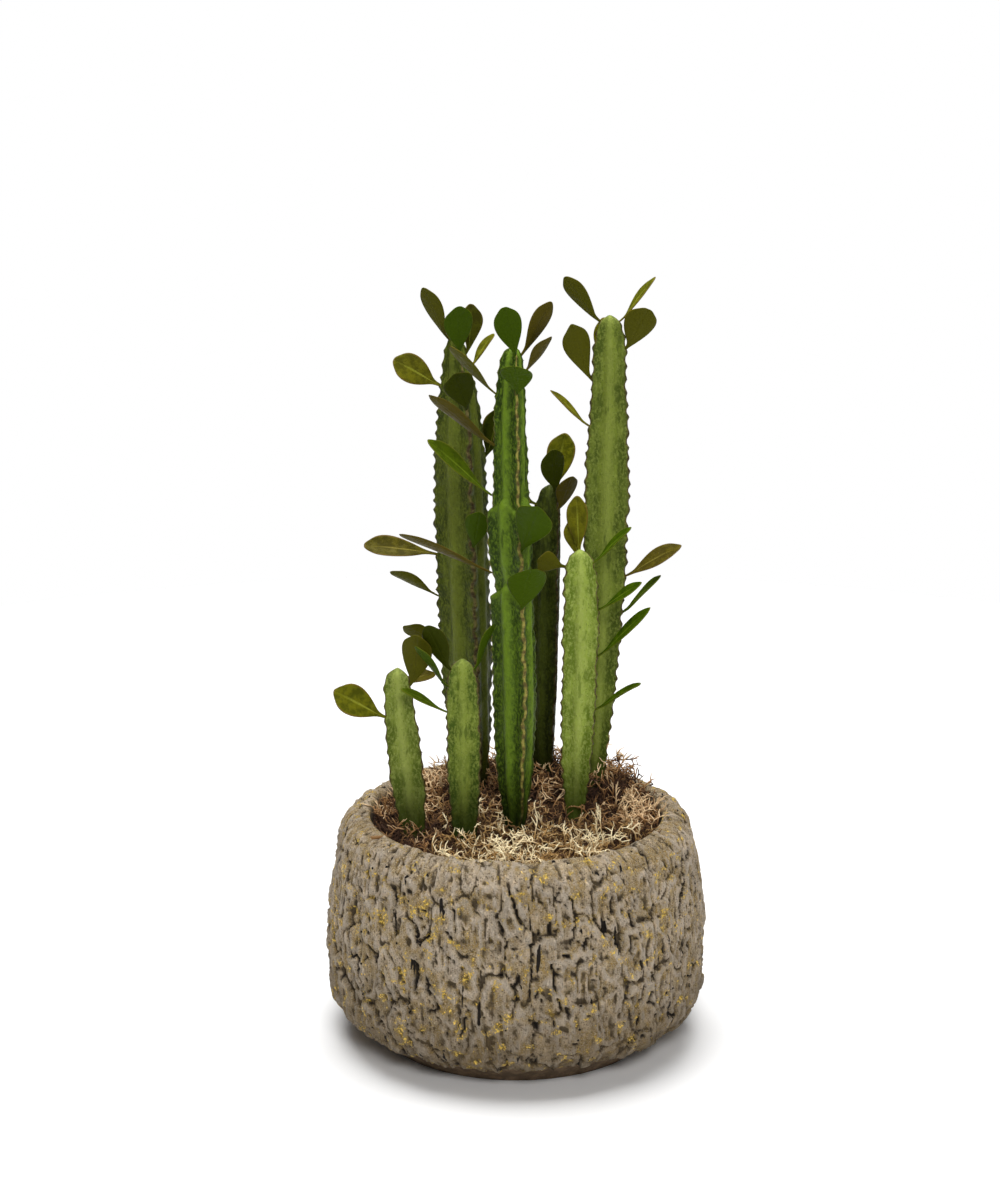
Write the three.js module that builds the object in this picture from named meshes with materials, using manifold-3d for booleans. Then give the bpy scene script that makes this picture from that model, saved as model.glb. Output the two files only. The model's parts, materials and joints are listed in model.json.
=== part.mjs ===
// A three-ribbed succulent with small paddle leaves, growing in a bark-textured bowl.
// Millimetres, +Z up. The origin is the middle of the bowl's flat foot, and +Y is the back.
import * as THREE from 'three';
import { mergeVertices } from 'three/addons/utils/BufferGeometryUtils.js';
import Module from 'manifold-3d';

// Driving dimensions
const FOOT_RADIUS = 92;
const BELLY_RADIUS = 127;
const RIM_HEIGHT = 157;
const MOUTH_RADIUS = 99.5;
const FLOOR_THICKNESS = 16;
const SOIL_HEIGHT = 128;
const MOSS_HEIGHT = 151;
const STEM_FOOT = 114;
const LEAF_THICKNESS = 1.2;
const GAP = 0.3;
const ROUND_SEGMENTS = 60;
const STEM_SIDES = 12;

const wasm = await Module();
wasm.setup();

const plant = new THREE.Group();
const radians = THREE.MathUtils.degToRad;

function addMesh(name, geometry, colour, roughness) {
  const material = new THREE.MeshStandardMaterial({ color: colour, roughness, metalness: 0 });
  const mesh = new THREE.Mesh(geometry, material);
  mesh.name = name;
  plant.add(mesh);
  return mesh;
}

// A lathe profile of [radius, height] pairs, turned about the upright axis.
function turned(profile) {
  const points = profile.map(([radius, height]) => new THREE.Vector2(radius, height));
  const geometry = new THREE.LatheGeometry(points, ROUND_SEGMENTS);
  geometry.rotateX(Math.PI / 2);
  return geometry;
}

function toSolid(geometry) {
  const bare = geometry.clone();
  bare.deleteAttribute('normal');
  bare.deleteAttribute('uv');
  const merged = mergeVertices(bare, 1e-4);
  return new wasm.Manifold(new wasm.Mesh({
    numProp: 3,
    vertProperties: new Float32Array(merged.attributes.position.array),
    triVerts: new Uint32Array(merged.index.array),
  }));
}

function toGeometry(solid) {
  const mesh = solid.getMesh();
  const geometry = new THREE.BufferGeometry();
  geometry.setAttribute('position', new THREE.BufferAttribute(mesh.vertProperties, 3));
  geometry.setIndex(new THREE.BufferAttribute(mesh.triVerts, 1));
  return geometry;
}

function moveEach(geometry, change) {
  const position = geometry.attributes.position;
  const point = new THREE.Vector3();
  for (let i = 0; i < position.count; i += 1) {
    point.fromBufferAttribute(position, i);
    change(point);
    position.setXYZ(i, point.x, point.y, point.z);
  }
  return geometry;
}

// ---------------------------------------------------------------- bowl and soil

// The bowl's outside runs from the foot up a steep flare to the belly, then in to the rounded rim.
const bowlOutside = [
  [FOOT_RADIUS, 0],
  [FOOT_RADIUS + 11, 10],
  [BELLY_RADIUS - 8, 23],
  [BELLY_RADIUS - 1, 35],
  [BELLY_RADIUS, 60],
  [BELLY_RADIUS, 80],
  [BELLY_RADIUS - 2, 101],
  [BELLY_RADIUS - 5.5, 121],
  [BELLY_RADIUS - 9, 143],
  [BELLY_RADIUS - 14, 153],
  [MOUTH_RADIUS + 5, RIM_HEIGHT],
];
const bowlInside = [
  [MOUTH_RADIUS, RIM_HEIGHT],
  [MOUTH_RADIUS - 1, SOIL_HEIGHT + GAP],
  [MOUTH_RADIUS - 4, 60],
  [MOUTH_RADIUS - 18, FLOOR_THICKNESS],
];
addMesh('pot', turned([[0, 0], ...bowlOutside, ...bowlInside, [0, FLOOR_THICKNESS]]), 0x8a7f70, 0.9);

const soilCore = toSolid(turned([
  [0, FLOOR_THICKNESS + GAP],
  [MOUTH_RADIUS - 18 - GAP, FLOOR_THICKNESS + GAP],
  [MOUTH_RADIUS - 4 - GAP, 60],
  [MOUTH_RADIUS - 1 - GAP, SOIL_HEIGHT],
  [0, SOIL_HEIGHT],
]));

// ---------------------------------------------------------------- stems

// Each stem has three ribs. turn is the compass angle of rib 0, the others follow at 120 and 240
// degrees. line is the stem's middle as [height, x, y], and girth is its rib radius as
// [height, radius], from the soil up to the tip.
const stems = {
  far_left: {
    turn: 85,
    line: [[157, -68.5, -22], [184, -72, -19], [226, -76.5, -16], [263, -79.5, -14]],
    girth: [[150, 9.5], [184, 14], [226, 13], [247, 11.5], [258, 9.5], [262, 6], [263, 3]],
    colour: 0x86a04c,
  },
  left: {
    turn: 90,
    line: [[157, -34.5, -27], [273, -36, -25]],
    girth: [[150, 9.5], [182, 12.5], [205, 13.5], [238, 13.5], [260, 12], [269, 9], [272, 5.5],
      [273, 3]],
    colour: 0x7f9e3f,
  },
  tall_left: {
    turn: 45,
    line: [[165, -27, 57], [218, -31, 57], [290, -33.5, 58], [360, -35.5, 58], [430, -37, 58],
      [473, -41, 58]],
    girth: [[150, 9], [170, 12.5], [190, 17], [220, 20.5], [255, 22], [360, 22], [395, 21],
      [430, 16.5], [457, 10.5], [468, 7.5], [473, 3]],
    colour: 0x5d7c36,
  },
  centre: {
    turn: 45,
    line: [[157, 0.5, -19], [243, 1, -19], [312, -1, -18], [385, -2.5, -17], [439, -3, -16],
      [481, -2.5, -15]],
    girth: [[150, 8.5], [186, 14.5], [214, 17], [245, 18], [318, 18], [326, 16.5], [334, 18.5],
      [378, 19], [386, 15], [416, 13.5], [440, 13], [466, 10.5], [476, 8], [480, 5], [481, 3]],
    colour: 0x4c7a34,
  },
  tall_right: {
    turn: 90,
    line: [[157, 53, 42], [222, 56, 44], [322, 60, 45], [433, 61.5, 45], [490, 62, 45]],
    girth: [[150, 7], [186, 10], [222, 13], [265, 15.5], [322, 17.5], [370, 18], [405, 16.7],
      [433, 14.5], [467, 13.5], [480, 11], [487, 8], [490, 4]],
    colour: 0x6c8f3c,
  },
  right_front: {
    turn: 90,
    line: [[157, 40, 11], [232, 41.8, 12], [288, 43.4, 13], [337, 42.4, 14]],
    girth: [[150, 7], [189, 12], [232, 14], [288, 14.5], [320, 13], [331, 10.5], [335.5, 7.5],
      [337, 4]],
    colour: 0x82a044,
  },
  back: {
    turn: 60,
    line: [[165, 20, 68], [286, 21, 69], [368, 24, 70]],
    girth: [[150, 8], [186, 11], [225, 13.5], [320, 13.5], [350, 11.5], [362, 8.5], [367, 5],
      [368, 3]],
    colour: 0x45602c,
  },
};

// Reads column value of a table whose rows start with a height, at height z.
function readAt(table, z, column) {
  const last = table.length - 1;
  if (z <= table[0][0]) {
    return table[0][column];
  }
  if (z >= table[last][0]) {
    return table[last][column];
  }
  const upper = table.findIndex((row) => row[0] >= z);
  const [low, high] = [table[upper - 1], table[upper]];
  const share = (z - low[0]) / (high[0] - low[0]);
  return THREE.MathUtils.lerp(low[column], high[column], share);
}

function stemMiddle(stem, z) {
  return new THREE.Vector3(readAt(stem.line, z, 1), readAt(stem.line, z, 2), z);
}

// The section reaches its full radius at a rib, dips beside it and is slightly proud mid-face.
function ribShape(degrees) {
  const fromRib = Math.abs(((degrees % 120) + 180) % 120 - 60);
  const rib = 0.4 * Math.exp(-((fromRib / 15) ** 2));
  const face = 0.05 * Math.exp(-(((fromRib - 60) / 18) ** 2));
  return 0.58 + rib + face;
}

// A solid stem. grow makes it fatter and deeper all round, for cutting its seat in the soil.
function stemGeometry(stem, grow = 0) {
  const heights = [STEM_FOOT - grow, 150, ...stem.girth.slice(1).map((row) => row[0] + grow)];
  const geometry = new THREE.CylinderGeometry(1, 1, heights.length - 1, STEM_SIDES, heights.length - 1);
  geometry.rotateX(Math.PI / 2);
  const lowest = -(heights.length - 1) / 2;
  return moveEach(geometry, (point) => {
    const z = heights[Math.round(point.z - lowest)];
    const onAxis = Math.hypot(point.x, point.y) < 0.5;
    const angle = Math.atan2(point.y, point.x);
    const rib = ribShape(THREE.MathUtils.radToDeg(angle));
    const radius = onAxis ? 0 : readAt(stem.girth, z - grow, 1) * rib + grow;
    const turn = angle + radians(stem.turn);
    point.copy(stemMiddle(stem, z));
    point.x += radius * Math.cos(turn);
    point.y += radius * Math.sin(turn);
  });
}

const stemSeats = Object.values(stems).map((stem) => toSolid(stemGeometry(stem, GAP)));

function cutSeats(solid) {
  return stemSeats.reduce((left, seat) => left.subtract(seat), solid);
}

addMesh('soil', toGeometry(cutSeats(soilCore)), 0x3a2a1e, 1);

for (const [name, stem] of Object.entries(stems)) {
  addMesh(`stem_${name}`, stemGeometry(stem), stem.colour, 0.6);
}

// ---------------------------------------------------------------- moss

// The moss heaps up behind and to the right, and dips just inside the rim at the front.
const mossHeaps = [
  { x: 62, y: 52, rise: 22, spread: 30 },
  { x: 10, y: 84, rise: 20, spread: 32 },
  { x: -50, y: 62, rise: 9, spread: 30 },
  { x: -8, y: -52, rise: 5, spread: 26 },
];
const MOSS_RADII = [0.97, 0.84, 0.66, 0.46, 0.24];

function mossTop(x, y) {
  let height = MOSS_HEIGHT;
  for (const heap of mossHeaps) {
    const away = Math.hypot(x - heap.x, y - heap.y) / heap.spread;
    height += heap.rise * Math.exp(-away * away);
  }
  return height;
}

const mossRadius = MOUTH_RADIUS - 1 - 2 * GAP;
const mossBed = turned([
  [0, SOIL_HEIGHT + GAP],
  [mossRadius, SOIL_HEIGHT + GAP],
  [mossRadius, MOSS_HEIGHT],
  ...MOSS_RADII.map((share) => [mossRadius * share, RIM_HEIGHT]),
  [0, RIM_HEIGHT],
]);
moveEach(mossBed, (point) => {
  if (point.z >= RIM_HEIGHT - 1) {
    point.z = mossTop(point.x, point.y);
  } else if (point.z >= MOSS_HEIGHT - 1) {
    point.z = mossTop(point.x, point.y) - 4;
  }
});
const mossSolid = cutSeats(toSolid(mossBed));

// The moss lies in four tufts that meet at one point, each between two compass angles.
const mossMeeting = new THREE.Vector2(-44, 20);
const tufts = {
  left: { from: 175, to: 261, colour: 0x8a6a45 },
  front: { from: 261, to: 340, colour: 0xcbb184 },
  right: { from: 340, to: 385, colour: 0x9c7d54 },
  back: { from: 25, to: 175, colour: 0x7d5f40 },
};
const TUFT_REACH = 300;

for (const [name, tuft] of Object.entries(tufts)) {
  const middle = radians((tuft.from + tuft.to) / 2);
  const start = new THREE.Vector2(Math.cos(middle), Math.sin(middle)).multiplyScalar(2 * GAP);
  start.add(mossMeeting);
  const outline = new THREE.Shape([start]);
  for (const share of [0, 0.5, 1]) {
    const angle = radians(THREE.MathUtils.lerp(tuft.from, tuft.to, share));
    outline.lineTo(start.x + TUFT_REACH * Math.cos(angle), start.y + TUFT_REACH * Math.sin(angle));
  }
  outline.closePath();
  const wedge = new THREE.ExtrudeGeometry(outline, { depth: 2 * RIM_HEIGHT, bevelEnabled: false });
  addMesh(`moss_${name}`, toGeometry(mossSolid.intersect(toSolid(wedge))), tuft.colour, 1);
}

// ---------------------------------------------------------------- leaves

// Each leaf grows from a rib: [rib, height, length, width, heading, rise, roll]. heading is the
// compass angle it points to, rise its slope, and roll turns the blade about its own midrib.
const leaves = {
  far_left: [
    [1, 231, 39, 22, 194, 33, -70],
    [2, 252, 42, 22, -68, 74, -40],
    [0, 248, 27, 15, 32, 10, 20],
  ],
  left: [
    [1, 255, 38, 14, 203, 58, 10],
    [1, 238, 35, 14, 192, 34, -15],
    [1, 266, 36, 17, 188, 67, 65],
    [2, 266, 34, 14, 21, 70, -50],
  ],
  tall_left: [
    [1, 470, 41, 16, 199, 68, 30],
    [2, 463, 36, 21, 262, 76, 20],
    [0, 460, 34, 19, 71, 74, 60],
    [1, 439, 36, 21, 192, 32, -80],
    [0, 450, 28, 14, 35, 52, -15],
    [2, 426, 34, 22, 239, 59, 40],
    [0, 386, 34, 19, 28, 74, 70],
    [2, 332, 32, 18, -71, 66, -25],
    [1, 321, 49, 19, 187, 10, -40],
    [1, 291, 38, 14, 198, 34, 30],
    [1, 258, 30, 15, 207, 31, 55],
  ],
  centre: [
    [1, 449, 46, 14, 196, 51, 20],
    [1, 415, 56, 16, 196, 43, 35],
    [1, 382, 58, 18, 203, 46, -40],
    [1, 329, 68, 15, 193, 29, 30],
    [2, 476, 36, 19, 205, 74, 85],
    [0, 474, 40, 17, 25, 61, -65],
    [0, 462, 30, 15, 0, 57, -40],
    [2, 452, 44, 21, 266, 40, -10],
    [2, 349, 43, 26, -60, 58, -50],
    [2, 309, 43, 27, 284, 58, -10],
  ],
  tall_right: [
    [1, 486, 40, 16, 193, 56, 40],
    [2, 486, 38, 14, 13, 55, 0],
    [2, 468, 35, 22, -37, 62, -50],
    [1, 447, 44, 19, 214, 68, 80],
    [0, 450, 36, 18, 115, 76, -65],
    [1, 416, 37, 14, 199, 48, -30],
    [2, 312, 44, 18, -13, 35, 35],
    [2, 286, 39, 14, -19, 51, 25],
  ],
  right_front: [
    [2, 329, 37, 13, -20, 50, 25],
    [2, 297, 36, 13, -17, 40, 20],
    [2, 264, 53, 14, -23, 50, 25],
    [2, 227, 38, 13, -15, 38, 15],
    [0, 333, 38, 17, 109, 78, -50],
    [0, 326, 29, 14, 127, 66, -80],
    [1, 327, 22, 15, 206, 20, 70],
  ],
  back: [
    [2, 364, 33, 20, 239, 77, 55],
    [0, 364, 38, 21, 45, 78, 25],
    [2, 352, 30, 17, -49, 66, -15],
    [1, 354, 24, 14, 217, 35, -50],
  ],
};
const leafColours = [0x47611d, 0x587323, 0x3b5221, 0x5a4a2a];
const PETIOLE_HALF = 0.9;

// A paddle leaf lying along +X with its upper face up, cupped along the midrib and drooping.
function leafGeometry(length, width) {
  const half = width / 2;
  const neck = 0.1 * length;
  const widest = 0.62 * length;
  const outline = new THREE.Shape();
  outline.moveTo(0, -PETIOLE_HALF);
  outline.lineTo(neck, -PETIOLE_HALF);
  outline.bezierCurveTo(0.25 * length, -PETIOLE_HALF, 0.4 * length, -half, widest, -half);
  outline.bezierCurveTo(0.84 * length, -half, length, -0.6 * half, length, 0);
  outline.bezierCurveTo(length, 0.6 * half, 0.84 * length, half, widest, half);
  outline.bezierCurveTo(0.4 * length, half, 0.25 * length, PETIOLE_HALF, neck, PETIOLE_HALF);
  outline.lineTo(0, PETIOLE_HALF);
  outline.closePath();
  const blade = new THREE.ExtrudeGeometry(outline, {
    depth: LEAF_THICKNESS,
    bevelEnabled: false,
    curveSegments: 3,
  });
  return moveEach(blade, (point) => {
    const along = point.x / length;
    point.z += 0.1 * half * (point.y / half) ** 2 - 0.06 * length * along * along - LEAF_THICKNESS / 2;
  });
}

function placeLeaf(name, stem, [rib, height, length, width, heading, rise, roll], colour) {
  const side = radians(stem.turn + 120 * rib);
  const base = stemMiddle(stem, height);
  const clear = readAt(stem.girth, height, 1) + 2 * GAP;
  base.x += clear * Math.cos(side);
  base.y += clear * Math.sin(side);
  const leaf = addMesh(name, leafGeometry(length, width), colour, 0.5);
  leaf.position.copy(base);
  leaf.rotation.order = 'ZYX';
  leaf.rotation.set(radians(roll), radians(-rise), radians(heading));
}

for (const [stemName, rows] of Object.entries(leaves)) {
  rows.forEach((row, index) => {
    const colour = leafColours[index % leafColours.length];
    placeLeaf(`leaf_${stemName}_${index + 1}`, stems[stemName], row, colour);
  });
}

export default plant;
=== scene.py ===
"""Builds the looks of a potted three-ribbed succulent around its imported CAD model."""

import json
import math
from itertools import product

import bpy
import numpy as np
from bpy.props import FloatProperty, FloatVectorProperty, IntProperty, PointerProperty
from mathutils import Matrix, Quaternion, Vector
from mathutils.bvhtree import BVHTree


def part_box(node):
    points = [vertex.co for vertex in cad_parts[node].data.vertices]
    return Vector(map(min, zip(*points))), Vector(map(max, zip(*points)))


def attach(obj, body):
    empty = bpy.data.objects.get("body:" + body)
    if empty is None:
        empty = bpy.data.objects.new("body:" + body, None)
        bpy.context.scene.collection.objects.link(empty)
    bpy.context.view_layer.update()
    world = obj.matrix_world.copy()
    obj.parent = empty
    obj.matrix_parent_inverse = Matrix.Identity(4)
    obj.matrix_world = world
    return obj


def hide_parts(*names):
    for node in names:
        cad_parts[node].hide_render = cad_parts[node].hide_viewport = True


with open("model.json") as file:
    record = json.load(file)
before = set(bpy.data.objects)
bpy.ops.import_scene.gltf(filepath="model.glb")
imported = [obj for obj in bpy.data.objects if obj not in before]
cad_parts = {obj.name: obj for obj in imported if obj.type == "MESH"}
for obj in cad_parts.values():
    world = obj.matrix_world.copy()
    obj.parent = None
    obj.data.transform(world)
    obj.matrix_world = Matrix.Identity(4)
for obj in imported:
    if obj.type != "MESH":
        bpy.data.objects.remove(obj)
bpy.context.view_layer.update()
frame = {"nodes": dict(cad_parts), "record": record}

bl_info = {
    "name": "Potted Three-Ribbed Succulent",
    "version": (1, 0, 0),
    "blender": (4, 5, 0),
    "location": "3D View > Sidebar > Plant",
    "description": "Grows a ribbed succulent with paddle leaves in a bark-cast bowl",
    "category": "Object",
}

MM = 0.001
BODY = "root"
RIBS = 3
RIB_STEP = 360 / RIBS
HALF_FACE = RIB_STEP / 2

# How each stem looks beyond its CAD size: its material slot and skin, how far the rib teeth stand
# out and how far apart they are in millimetres, and a seed. shoulders are the heights in metres
# where one year's growth ends and the next comes out of it.
STEM_LOOKS = {
    "far_left": {"slot": "stem_pale", "skin": "pale", "tooth": 1.2, "gap": 10.0, "seed": 3},
    "left": {"slot": "stem_pale", "skin": "mossy", "tooth": 1.2, "gap": 8.5, "seed": 5},
    "tall_left": {"slot": "stem_deep", "skin": "dusky", "tooth": 1.5, "gap": 8.0, "seed": 7},
    "centre": {
        "slot": "stem_deep",
        "skin": "deep",
        "tooth": 0.9,
        "gap": 7.5,
        "seed": 11,
        "shoulders": (0.324, 0.382),
    },
    "tall_right": {"slot": "stem_deep", "skin": "middling", "tooth": 1.6, "gap": 9.0, "seed": 13},
    "right_front": {"slot": "stem_pale", "skin": "fresh", "tooth": 1.5, "gap": 8.5, "seed": 17},
    "back": {"slot": "stem_deep", "skin": "shaded", "tooth": 1.4, "gap": 9.0, "seed": 19},
}

# Stem skins as linear colours: the face, its darker marbling, its bright middle and rib edge, the
# dark teeth, and how strongly the bright middle shows.
STEM_SKINS = {
    "pale": {
        "face": (0.22, 0.275, 0.045),
        "marble": (0.08, 0.115, 0.009),
        "line": (0.31, 0.36, 0.085),
        "edge": (0.11, 0.075, 0.028),
        "tip": (0.045, 0.024, 0.01),
        "bright": 0.45,
    },
    "fresh": {
        "face": (0.31, 0.4, 0.062),
        "marble": (0.12, 0.18, 0.014),
        "line": (0.42, 0.5, 0.12),
        "edge": (0.14, 0.09, 0.035),
        "tip": (0.05, 0.028, 0.012),
        "bright": 0.4,
    },
    "mossy": {
        "face": (0.2, 0.26, 0.034),
        "marble": (0.05, 0.086, 0.006),
        "line": (0.28, 0.34, 0.065),
        "edge": (0.17, 0.12, 0.05),
        "tip": (0.045, 0.026, 0.012),
        "bright": 0.3,
    },
    "dusky": {
        "face": (0.096, 0.122, 0.011),
        "marble": (0.034, 0.047, 0.004),
        "line": (0.15, 0.18, 0.022),
        "edge": (0.18, 0.14, 0.05),
        "tip": (0.035, 0.02, 0.008),
        "bright": 0.5,
    },
    "middling": {
        "face": (0.175, 0.225, 0.028),
        "marble": (0.064, 0.092, 0.008),
        "line": (0.25, 0.3, 0.055),
        "edge": (0.13, 0.1, 0.03),
        "tip": (0.04, 0.024, 0.01),
        "bright": 0.5,
    },
    "deep": {
        "face": (0.06, 0.105, 0.008),
        "marble": (0.02, 0.04, 0.003),
        "line": (0.16, 0.26, 0.018),
        "edge": (0.4, 0.34, 0.08),
        "tip": (0.1, 0.07, 0.022),
        "bright": 0.85,
    },
    "shaded": {
        "face": (0.045, 0.058, 0.005),
        "marble": (0.016, 0.022, 0.002),
        "line": (0.07, 0.09, 0.009),
        "edge": (0.09, 0.065, 0.02),
        "tip": (0.025, 0.015, 0.006),
        "bright": 0.3,
    },
}

# Leaf finishes as linear colours: the upper face, its mottling, the midrib, the margin and below.
LEAF_SKINS = {
    "leaf_olive": {
        "face": (0.128, 0.132, 0.0049),
        "mottle": (0.0595, 0.0669, 0.0021),
        "midrib": (0.24, 0.25, 0.025),
        "margin": (0.16, 0.11, 0.018),
        "below": (0.0748, 0.0739, 0.0042),
    },
    "leaf_green": {
        "face": (0.0527, 0.0986, 0.0014),
        "mottle": (0.0272, 0.0581, 0.0007),
        "midrib": (0.15, 0.21, 0.014),
        "margin": (0.13, 0.14, 0.012),
        "below": (0.0425, 0.0757, 0.0021),
    },
    "leaf_dark": {
        "face": (0.0357, 0.0475, 0.0014),
        "mottle": (0.0179, 0.0246, 0.0007),
        "midrib": (0.1, 0.115, 0.01),
        "margin": (0.1, 0.07, 0.012),
        "below": (0.0306, 0.0396, 0.0014),
    },
    "leaf_brown": {
        "face": (0.085, 0.0722, 0.0049),
        "mottle": (0.0442, 0.0378, 0.0028),
        "midrib": (0.18, 0.15, 0.025),
        "margin": (0.14, 0.09, 0.022),
        "below": (0.0723, 0.0581, 0.0056),
    },
}
NOTCHED_LEAVES = {"leaf_centre_9": 0.1, "leaf_centre_10": 0.12, "leaf_tall_right_5": 0.05}

# Moss finishes as linear colours, from the shaded inside to the bleached tips.
MOSS_SKINS = {
    "moss_cream": {"inner": (0.07, 0.028, 0.007), "mid": (0.46, 0.27, 0.09), "tip": (0.98, 0.84, 0.54)},
    "moss_brown": {"inner": (0.05, 0.018, 0.005), "mid": (0.36, 0.185, 0.065), "tip": (0.85, 0.62, 0.36)},
}
MOSS_TUFTS = {
    "moss_left": {"slot": "moss_brown", "share": 0.15, "bleach": -0.3, "seed": 31},
    "moss_front": {"slot": "moss_cream", "share": 0.31, "bleach": -0.1, "seed": 37},
    "moss_right": {"slot": "moss_brown", "share": 0.25, "bleach": -0.02, "seed": 41},
    "moss_back": {"slot": "moss_brown", "share": 0.29, "bleach": -0.02, "seed": 43},
}
# Bleached clumps of moss as x, y and spread in millimetres.
CREAM_CLUMPS = ((-16, -80, 20), (4, -88, 16), (46, -58, 22), (-47, -66, 9), (84, 4, 14), (60, 64, 16), (-62, 40, 16))


# ------------------------------------------------------------------ settings


class BowlSettings(bpy.types.PropertyGroup):
    """Sizes and colours of the bark-cast bowl."""

    steps: IntProperty(
        name="Steps round", description="Faces round the bowl", default=600, min=60
    )
    plate_width: FloatProperty(
        name="Plate width",
        description="Usual width of a bark plate",
        default=16 * MM,
        unit="LENGTH",
    )
    plate_height: FloatProperty(
        name="Plate height",
        description="Usual height of a bark plate",
        default=34 * MM,
        unit="LENGTH",
    )
    relief: FloatProperty(
        name="Relief",
        description="How far the highest plates stand over the lowest",
        default=3.1 * MM,
        unit="LENGTH",
    )
    slots: IntProperty(
        name="Slots", description="Deep slots between the plates", default=120, min=0
    )
    foot_band: FloatProperty(
        name="Foot band",
        description="Height of the smooth band above the foot",
        default=15.5 * MM,
        unit="LENGTH",
    )
    cement: FloatVectorProperty(
        name="Cement",
        description="Colour of the worn cement",
        subtype="COLOR",
        default=(0.6, 0.45, 0.28),
    )
    gold: FloatVectorProperty(
        name="Gold",
        description="Colour of the gold flecks",
        subtype="COLOR",
        default=(1.0, 0.7, 0.13),
    )


class StemSettings(bpy.types.PropertyGroup):
    """Sizes of the ribbed stems."""

    steps: IntProperty(
        name="Steps round", description="Faces round each stem", default=72, min=24
    )
    ring_gap: FloatProperty(
        name="Ring gap",
        description="Height between rows of faces",
        default=1.35 * MM,
        unit="LENGTH",
    )
    base_shade: FloatProperty(
        name="Base shade",
        description="Height up to which the stem bases are darker",
        default=212 * MM,
        unit="LENGTH",
    )
    thorn_length: FloatProperty(
        name="Thorn length",
        description="Length of the small thorns",
        default=0.95 * MM,
        unit="LENGTH",
    )


class LeafSettings(bpy.types.PropertyGroup):
    """Sizes of the paddle leaves."""

    thickness: FloatProperty(
        name="Thickness",
        description="Thickness of a leaf",
        default=0.85 * MM,
        unit="LENGTH",
    )
    cup: FloatProperty(
        name="Cup",
        description="How far the edges rise, as a share of half the width",
        default=0.2,
        subtype="FACTOR",
    )
    droop: FloatProperty(
        name="Droop",
        description="How far a leaf bows, as a share of its length",
        default=0.07,
        subtype="FACTOR",
    )


class MossSettings(bpy.types.PropertyGroup):
    """Sizes of the dried moss."""

    sprigs: IntProperty(
        name="Sprigs", description="Sprigs in all four tufts", default=2850, min=100
    )
    strand: FloatProperty(
        name="Strand radius",
        description="Thickest radius of a strand",
        default=0.64 * MM,
        unit="LENGTH",
    )
    reach: FloatProperty(
        name="Reach",
        description="Length of a sprig's main strand",
        default=19.5 * MM,
        unit="LENGTH",
    )


class StageSettings(bpy.types.PropertyGroup):
    """The floor, the lights and the camera."""

    floor_colour: FloatVectorProperty(
        name="Floor", description="Colour of the floor", subtype="COLOR", default=(0.9, 0.9, 0.9)
    )
    overhead: FloatProperty(
        name="Overhead light", description="Power of the overhead softbox", default=72.0, unit="POWER"
    )
    front: FloatProperty(
        name="Front light", description="Power of the softbox over the camera", default=43.0, unit="POWER"
    )
    left_fill: FloatProperty(
        name="Left fill", description="Power of the softbox at the left", default=0.5, unit="POWER"
    )
    right_fill: FloatProperty(
        name="Right fill", description="Power of the softbox at the right", default=3.5, unit="POWER"
    )
    ambient: FloatProperty(
        name="Ambient", description="Strength of the light from all round", default=0.085
    )
    lens: FloatProperty(name="Lens", description="Focal length in millimetres", default=99.0)


# ------------------------------------------------------------------ noise and arrays


def smooth_noise(points, seed=0):
    """Smooth noise from -1 to 1 for each row of points, with about one bump per unit."""
    points = np.asarray(points, float)
    cell = np.floor(points).astype(np.int64)
    part = points - cell
    part = part * part * (3 - 2 * part)
    total = np.zeros(len(points))
    for corner in product((0, 1), repeat=3):
        x, y, z = (cell + corner).T
        mixed = (x * 73856093) ^ (y * 19349663) ^ (z * 83492791) ^ (seed * 97531)
        mixed = ((mixed ^ (mixed >> 13)) * 127412617) & 0x7FFFFFFF
        mixed = ((mixed ^ (mixed >> 15)) * 69069) & 0x7FFFFFFF
        value = ((mixed >> 8) & 0xFFFF) / 32767.5 - 1
        share = np.where(np.array(corner, bool), part, 1 - part).prod(axis=1)
        total += share * value
    return total


def rough_noise(points, seed=0, octaves=3):
    """Smooth noise with finer and fainter noise added, about -1 to 1."""
    points = np.asarray(points, float)
    total = np.zeros(len(points))
    for octave in range(octaves):
        total += smooth_noise(points * 2**octave, seed + 17 * octave) / 2**octave
    return total / 1.5


def eased(low, high, value):
    """0 below low, 1 above high and a smooth rise between them."""
    share = np.clip((value - low) / (high - low), 0, 1)
    return share * share * (3 - 2 * share)


def hump(value, middle, width):
    """1 at middle, falling to 0 within about two widths on each side."""
    return np.exp(-(((value - middle) / width) ** 2))


def softplus(value, width):
    """The value where it is above 0, and 0 below, with the bend rounded over about a width."""
    return width * np.logaddexp(0, value / width)


def softened(values, reach):
    """A list of numbers averaged over its neighbours, ends kept."""
    padded = np.pad(values, reach, mode="edge")
    kernel = np.hanning(2 * reach + 3)[1:-1]
    return np.convolve(padded, kernel / kernel.sum(), mode="valid")


def read_points(mesh):
    points = np.zeros(len(mesh.vertices) * 3, np.float32)
    mesh.vertices.foreach_get("co", points)
    return points.reshape(-1, 3).astype(float)


def write_points(mesh, points):
    mesh.vertices.foreach_set("co", np.asarray(points, np.float32).ravel())
    mesh.update()


def write_value(mesh, name, values):
    """Stores one number per vertex under a name that the materials read."""
    attribute = mesh.attributes.new(name, "FLOAT", "POINT")
    attribute.data.foreach_set("value", np.asarray(values, np.float32))


# ------------------------------------------------------------------ modelling by hand


def deselect_everything():
    if bpy.context.object and bpy.context.object.mode != "OBJECT":
        bpy.ops.object.mode_set(mode="OBJECT")
    bpy.ops.object.select_all(action="DESELECT")


def hold(piece):
    """Makes a piece the only selected object, and the active one."""
    deselect_everything()
    piece.select_set(True)
    bpy.context.view_layer.objects.active = piece


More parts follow.
